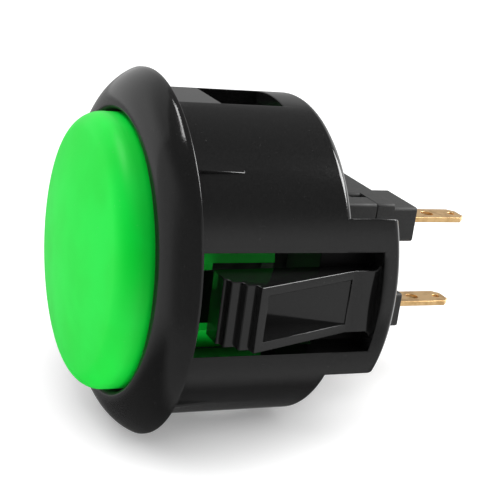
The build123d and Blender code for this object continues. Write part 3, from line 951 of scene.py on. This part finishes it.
class SwitchCaseOperator(bpy.types.Operator):
    """Makes the switch cover and the switch base"""

    bl_idname = "push_button.make_switch_case"
    bl_label = "Make switch case"

    # Steps round the hole in the roof
    hole_steps = 64

    def execute(self, context):
        settings = button_settings(context)
        sizes = in_mm(settings.case)
        tabs = in_mm(settings.terminal)
        finish = dull_black(settings.colours)
        make_piece(self.cover(sizes), "switch_cover", "case", finish)
        make_piece(self.base(sizes, tabs), "switch_base", "case", finish)
        return {"FINISHED"}

    def cover(self, sizes):
        """Stepped box, open at the rear, with a hole in its roof and room for the base's lugs."""
        wall, front = sizes.wall, -sizes.front
        shoulder, seam = -sizes.shoulder, -sizes.seam
        size = (sizes.width, sizes.length)
        neck_size = smaller(size, sizes.step)
        body = rounded_block(size, sizes.corner_round, seam, shoulder)
        neck = rounded_block(neck_size, sizes.corner_round, shoulder - SINK, front)
        room = prism(rectangle(*smaller(size, wall)), seam - CLEAR, shoulder - wall)
        upper = prism(rectangle(*smaller(neck_size, wall)), shoulder - wall - SINK, front - wall)
        round_hole = circle(sizes.roof_hole, steps=self.hole_steps)
        hole = prism(round_hole, front - 2 * wall, front + CLEAR)
        inside = sizes.length / 2 - wall - 2 * sizes.plug_gap
        edge, top = sizes.lug_edge + sizes.lug_gap, seam + sizes.lug_height + sizes.plug_gap
        lug_room = block((-sizes.width, inside, seam - CLEAR), (edge, sizes.length, top))
        form = cut(join(body, neck), room, upper, hole, *on_both_sides(lug_room, "Y"))
        return soften(form, sizes.edge_round)

    def base(self, sizes, tabs):
        """Rear plate with side lugs, a hollow plug, two bosses, terminal slots and claw notches."""
        rear, seam = -sizes.rear, -sizes.seam
        plug_top, boss_end = seam + sizes.plug_height, -sizes.boss_end
        size = (sizes.width, sizes.length)
        plate = rounded_block(size, sizes.corner_round, rear, seam)
        inset = sizes.wall + sizes.plug_gap
        plug_size = smaller(size, inset)
        plug = prism(rectangle(*plug_size), seam - SINK, plug_top)
        hollow = prism(rectangle(*smaller(plug_size, sizes.plug_wall)), seam, plug_top + CLEAR)
        edge, far, outside = sizes.lug_edge, -sizes.width / 2, sizes.length / 2
        inside = outside - inset
        corners = [(far, inside), (edge, inside), (edge, outside), (far, outside)]
        lug_outline = rounded_outline(corners, (0, 0, sizes.corner_round, sizes.corner_round))
        lug = prism(lug_outline, seam - SINK, seam + sizes.lug_height)
        boss_size = (sizes.boss_width, sizes.boss_length)
        slot_size = smaller((tabs.width, tabs.thickness), -sizes.slot_play)
        bosses = []
        slots = []
        for side in (1, -1):
            middle = (tabs.offset, side * tabs.spacing / 2)
            boss = rounded_block(boss_size, sizes.corner_round, boss_end, rear + SINK, middle)
            bosses.append(boss)
            slots.append(prism(rectangle(*slot_size, middle), boss_end - CLEAR, plug_top + CLEAR))
        half = sizes.notch_width / 2
        notch = block(
            (sizes.notch_floor, -half, rear - CLEAR), (sizes.width, half, -sizes.notch_start)
        )
        form = join(plate, plug, *on_both_sides(lug, "Y"), *bosses)
        return soften(cut(form, hollow, *slots, *on_both_sides(notch)), sizes.edge_round)


class TerminalOperator(bpy.types.Operator):
    """Punches the two terminals"""

    bl_idname = "push_button.make_terminals"
    bl_label = "Make terminals"

    # Steps round the dimple and the shank hole
    small_steps = 32

    # Rounds the trimmed corners too, which turn by 45 degrees
    corner_angle = math.radians(40)

    # Millimetres by which the tongue lies below the tab's end, so that no two faces coincide
    tongue_step = 0.002

    def execute(self, context):
        settings = button_settings(context)
        tabs = in_mm(settings.terminal)
        colours = settings.colours
        brass = rolled_metal(
            "rolled brass", colours.brass, colours.brass_stain,
            size=0.1, stretch=(1, 1, 0.12), roughest=0.42,
        )
        middle = tabs.spacing / 2
        common = self.tab(tabs, -middle, tabs.common_start)
        depth = -tabs.common_start
        tongue = block(
            (tabs.tongue_start, tabs.thickness / 4 - middle, depth - tabs.thickness),
            (tabs.tongue_end, tabs.tongue_reach, depth - self.tongue_step),
        )
        common = join(common, soften(tongue, tabs.edge_round))
        make_piece(common, "common_terminal", "case", brass)
        contact = self.tab(tabs, middle, tabs.contact_start, shank=True)
        make_piece(contact, "contact_terminal", "case", brass)
        return {"FINISHED"}

    def tab(self, tabs, middle, start, shank=False):
        """Flat tab with trimmed corners, a hole and a dimple, and a shank hole where asked for."""
        low, high = middle - tabs.thickness / 2, middle + tabs.thickness / 2
        half, trim = tabs.width / 2, tabs.corner
        left, right = tabs.offset - half, tabs.offset + half
        outline = [
            (left, -start),
            (left, trim - tabs.end),
            (left + trim, -tabs.end),
            (right - trim, -tabs.end),
            (right, trim - tabs.end),
            (right, -start),
        ]
        below, above = low - CLEAR, high + CLEAR
        hole = circle(tabs.hole_radius, (tabs.offset, -tabs.hole_depth))
        dimple = circle(tabs.dimple_radius, (tabs.offset, -tabs.dimple_depth), self.small_steps)
        tools = [
            prism(hole, below, above, "Y"), prism(dimple, high - tabs.dimple_sink, above, "Y")
        ]
        if shank:
            place = (tabs.shank_offset, -tabs.shank_depth)
            seat = circle(tabs.shank_radius, place, self.small_steps)
            tools.append(prism(seat, below, above, "Y"))
        form = cut(prism(outline, low, high, "Y"), *tools)
        return soften(form, tabs.edge_round, sharpest=self.corner_angle)


class InnerPiecesOperator(bpy.types.Operator):
    """Winds the return spring and finishes the actuator, the lever and the contacts"""

    bl_idname = "push_button.make_inner_pieces"
    bl_label = "Make inner pieces"

    # Steps in each turn of the spring, and sides of its wire
    turn_steps, wire_sides = 40, 12

    # Millimetres that the actuator slides, and the spring's upper end with it
    travel = 3.0

    def execute(self, context):
        settings = button_settings(context)
        colours = settings.colours
        steel = rolled_metal(
            "spring steel", colours.steel, colours.steel_stain,
            size=0.08, stretch=(1, 1, 1), roughest=0.38,
        )
        self.spring(settings.spring, steel)
        bronze = rolled_metal(
            "lever bronze", colours.bronze, colours.bronze_stain,
            size=0.1, stretch=(0.2, 1, 1), roughest=0.42,
        )
        silver = rolled_metal(
            "contact silver", colours.silver, colours.silver_stain,
            size=0.15, stretch=(1, 1, 1), roughest=0.4,
        )
        finishes = {
            "switch_actuator": slider_black(colours),
            "contact_lever": bronze,
            "moving_contact": silver,
            "fixed_contact": silver,
        }
        for name, finish in finishes.items():
            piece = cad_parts[name]
            piece.data.materials.clear()
            piece.data.materials.append(finish)
        return {"FINISHED"}

    def spring(self, group, finish):
        """Coil of round wire, wound at rest: it is not shortened here as the actuator goes down."""
        sizes = in_mm(group)
        steps = group.turns * self.turn_steps
        low = -sizes.bottom + sizes.wire / 2
        rise = sizes.bottom - sizes.top - sizes.wire
        slope = rise / (2 * math.pi * group.turns * sizes.radius)
        form = bmesh.new()
        rings = []
        for step in range(steps + 1):
            angle = 2 * math.pi * step / self.turn_steps
            out = Vector((math.cos(angle), math.sin(angle), 0))
            along = Vector((-math.sin(angle), math.cos(angle), slope))
            across = along.normalized().cross(out)
            middle = out * sizes.radius + Vector((0, 0, low + rise * step / steps))
            ring = [
                form.verts.new(middle + sizes.wire * (out * u + across * v))
                for u, v in circle(1 / 2, steps=self.wire_sides)
            ]
            rings.append(ring)
        for lower, upper in zip(rings, rings[1:]):
            for side in range(self.wire_sides):
                form.faces.new((lower[side - 1], lower[side], upper[side], upper[side - 1]))
        form.faces.new(rings[0])
        form.faces.new(rings[-1])
        bmesh.ops.recalc_face_normals(form, faces=form.faces)
        spring = make_piece(form, "return_spring", "case", finish)
        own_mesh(spring)


class StageOperator(bpy.types.Operator):
    """Lays the floor and sets the lights and the camera"""

    bl_idname = "push_button.set_stage"
    bl_label = "Set stage"

    # Millimetres between the floor and the flange's edge, and the floor's size in metres: how far
    # it reaches out, and how far it comes forward on the near clip's side
    floor_gap = 0.02
    floor_reach, floor_front = 2.0, 0.09

    # Name, direction from the button, distance and size in metres, radiance, and whether the
    # light leaves out the floor or falls on it alone
    soft_boxes = (
        ("right", (0.10, 0.67, -0.735), 0.45, (0.17, 0.23), 16, "EXCLUDE"),
        ("back left", (-0.84, 0.44, 0.32), 0.6, (0.9, 0.6), 0.35, "EXCLUDE"),
        ("overhead", (-0.22, 0.93, 0.30), 0.5, (0.25, 0.08), 11, "EXCLUDE"),
        ("floor light", (0.5, 0.86, 0.06), 0.6, (0.6, 0.6), 3.3, "INCLUDE"),
    )

    def execute(self, context):
        floor = self.floor(button_settings(context))
        self.lights(context.scene, floor)
        self.camera(context.scene)
        return {"FINISHED"}

    def floor(self, settings):
        """Floor on which the button lies on its flange's edge and the rear of its barrel."""
        housing = settings.housing
        step = housing.flange_radius - housing.barrel_radius
        normal = Vector((0, 1, step / (housing.barrel_depth - housing.rear_round))).normalized()
        across = Vector((1, 0, 0))
        along = normal.cross(across)
        touch = Vector((0, -housing.flange_radius, 0)) - normal * self.floor_gap * MM
        reach, front = self.floor_reach, self.floor_front
        corners = [(-reach, -reach), (-reach, reach), (front, reach), (front, -reach)]
        mesh = bpy.data.meshes.new("floor")
        mesh.from_pydata([touch + across * a + along * b for a, b in corners], [], [(3, 2, 1, 0)])
        mesh.update()
        if mesh.polygons[0].normal.dot(normal) < 0:
            mesh.flip_normals()
        mesh.materials.append(self.floor_finish(settings.colours.floor))
        floor = bpy.data.objects.new("floor", mesh)
        bpy.context.scene.collection.objects.link(floor)
        floor.visible_glossy = False
        return floor

    def floor_finish(self, pale):
        """Faintly cloudy floor with a little light of its own, clear when seen from below."""
        finish = Finish("pale floor")
        cloud = finish.noise(size=40, detail=2)
        shade = 0.985
        tint = finish.blend(cloud, pale, [value * shade for value in pale])
        sheet = finish.node("ShaderNodeBsdfPrincipled", {}, {
            "Base Color": tint,
            "Roughness": 1.0,
            "Specular IOR Level": 0.0,
            "Emission Color": tint,
            "Emission Strength": 0.3,
        })
        clear = finish.node("ShaderNodeBsdfTransparent")
        behind = finish.node("ShaderNodeNewGeometry", output="Backfacing")
        both = finish.node("ShaderNodeMixShader", {}, {0: behind, 1: sheet, 2: clear})
        finish.node("ShaderNodeOutputMaterial", {}, {"Surface": both})
        return finish.material

    def lights(self, scene, floor):
        """Surroundings, soft boxes for the button and a light of the floor's own."""
        self.surroundings(scene)
        for name, towards, distance, size, radiance, state in self.soft_boxes:
            lamp = self.soft_box(scene, name, towards, distance, size, radiance)
            self.receive(lamp, floor, state)
        scene.view_settings.view_transform = "Standard"

    def surroundings(self, scene):
        """World that looks white to the camera, lights softly, and has shapes for gloss to show."""
        world = bpy.data.worlds.new("surroundings")
        scene.world = world
        nodes = Nodes(world)
        to_camera = nodes.node("ShaderNodeLightPath", output="Is Camera Ray")
        to_gloss = nodes.node("ShaderNodeLightPath", output="Is Glossy Ray")
        towards = nodes.node("ShaderNodeTexCoord", output="Generated")
        x, y, z = (
            nodes.node("ShaderNodeSeparateXYZ", {}, {0: towards}, output=axis) for axis in "XYZ"
        )
        white = 1.05

        # Soft light, weaker from the near clip's side unless it comes from high up
        near = nodes.ease(x, -0.3, 0.6)
        soft = 0.9 - near * (0.78 - 0.6 * nodes.ease(y, 0.45, 0.95))

        # For gloss: a band all round, dimmer in front, where the camera is, and at the far side,
        # a panel behind the terminals, a patch beside it on the near side, and a glow from below
        above = nodes.ease(y, -0.6, -0.35)
        front = 0.77 * x + 0.64 * z
        band = above * nodes.ease(y, 0.65, 0.35) * nodes.ease(front, 0.45, 0.85, 1.0, 0.15)
        band = band * nodes.ease(x, -0.9, -0.6, 0.35, 1.0)
        panel = above * nodes.ease(z, -0.55, -0.9)
        panel = panel * nodes.ease(x, 0.15, -0.25) * nodes.ease(x, -0.7, -0.5)
        patch = above * nodes.ease(x, 0.55, 0.85) * nodes.ease(z, -0.1, -0.4)
        under = nodes.ease(y, -0.35, -0.6) * nodes.ease(x, -0.1, 0.2)
        gloss = 0.08 + 0.15 * above + 0.45 * band + 1.2 * panel + 0.2 * patch + 0.35 * under

        strength = soft + to_gloss * (gloss - soft) + to_camera * (white - soft)
        sky = nodes.node("ShaderNodeBackground", {}, {"Color": (1, 1, 1, 1), "Strength": strength})
        nodes.node("ShaderNodeOutputWorld", {}, {"Surface": sky})

    def soft_box(self, scene, name, towards, distance, size, radiance):
        """A rectangular light that faces the button from a direction."""
        light = bpy.data.lights.new(name, "AREA")
        light.shape = "RECTANGLE"
        light.size, light.size_y = size
        light.energy = radiance * math.pi * size[0] * size[1]
        lamp = bpy.data.objects.new(name, light)
        back = Vector(towards).normalized()
        side = Vector((0, 1, 0)).cross(back).normalized()
        turned = Matrix((side, back.cross(side), back)).transposed()
        aim = Vector((0, 0, -8 * MM))
        lamp.matrix_world = Matrix.Translation(aim + back * distance) @ turned.to_4x4()
        lamp.visible_camera = False
        scene.collection.objects.link(lamp)
        return lamp

    def receive(self, lamp, floor, state):
        """Lets a light fall on the floor alone, or on everything but the floor."""
        receivers = bpy.data.collections.new(lamp.name + " receivers")
        receivers.objects.link(floor)
        receivers.collection_objects[0].light_linking.link_state = state
        lamp.light_linking.receiver_collection = receivers

    def camera(self, scene):
        """Camera at the photograph's place, rolled so that the button lies down."""
        azimuth, elevation, roll = (math.radians(angle) for angle in (25.343, 17.442, 7.896))
        aim = Vector((0, 0, -6 * MM))
        distance, shift, drop = 119.144 * MM, 4.838 * MM, 0.026 * MM
        level = math.cos(elevation)
        back = Vector((math.cos(azimuth) * level, math.sin(elevation), math.sin(azimuth) * level))
        right = Matrix.Rotation(roll, 3, back) @ Vector((0, 1, 0)).cross(back).normalized()
        up = back.cross(right)
        place = aim + right * shift - up * drop + back * distance
        lens = bpy.data.cameras.new("camera")
        lens.sensor_width = 36
        lens.lens = 92.74
        lens.clip_start = MM
        camera = bpy.data.objects.new("camera", lens)
        turned = Matrix((right, up, back)).transposed()
        camera.matrix_world = Matrix.Translation(place) @ turned.to_4x4()
        scene.collection.objects.link(camera)
        scene.camera = camera


class PushButtonPanel(bpy.types.Panel):
    """Lists the operators and the settings."""

    bl_idname = "VIEW3D_PT_push_button"
    bl_label = "Push button"
    bl_space_type = "VIEW_3D"
    bl_region_type = "UI"
    bl_category = "Push button"

    def draw(self, context):
        settings = button_settings(context)
        for operator in OPERATORS:
            self.layout.operator(operator.bl_idname)
        for part in settings.__annotations__:
            group = getattr(settings, part)
            box = self.layout.box()
            box.label(text=settings.bl_rna.properties[part].name)
            for key in group.__annotations__:
                box.prop(group, key)


GROUPS = (
    HousingSizes,
    ClipSizes,
    PlungerSizes,
    CaseSizes,
    TerminalSizes,
    SpringSizes,
    FinishColours,
    ButtonSettings,
)
OPERATORS = (
    HousingOperator,
    PlungerOperator,
    SwitchCaseOperator,
    TerminalOperator,
    InnerPiecesOperator,
    StageOperator,
)
CLASSES = (*GROUPS, *OPERATORS, PushButtonPanel)


def register():
    """Adds the classes, and the settings to every scene."""
    for kind in CLASSES:
        bpy.utils.register_class(kind)
    bpy.types.Scene.push_button = settings_of(
        ButtonSettings, "Push button", "All settings of the push button"
    )


def unregister():
    """Takes the settings and the classes away again."""
    del bpy.types.Scene.push_button
    for kind in reversed(CLASSES):
        bpy.utils.unregister_class(kind)


def main():
    """Registers the classes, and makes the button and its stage."""
    register()
    for operator in OPERATORS:
        family, name = operator.bl_idname.split(".")
        getattr(getattr(bpy.ops, family), name)()


if __name__ == "__main__":
    main()
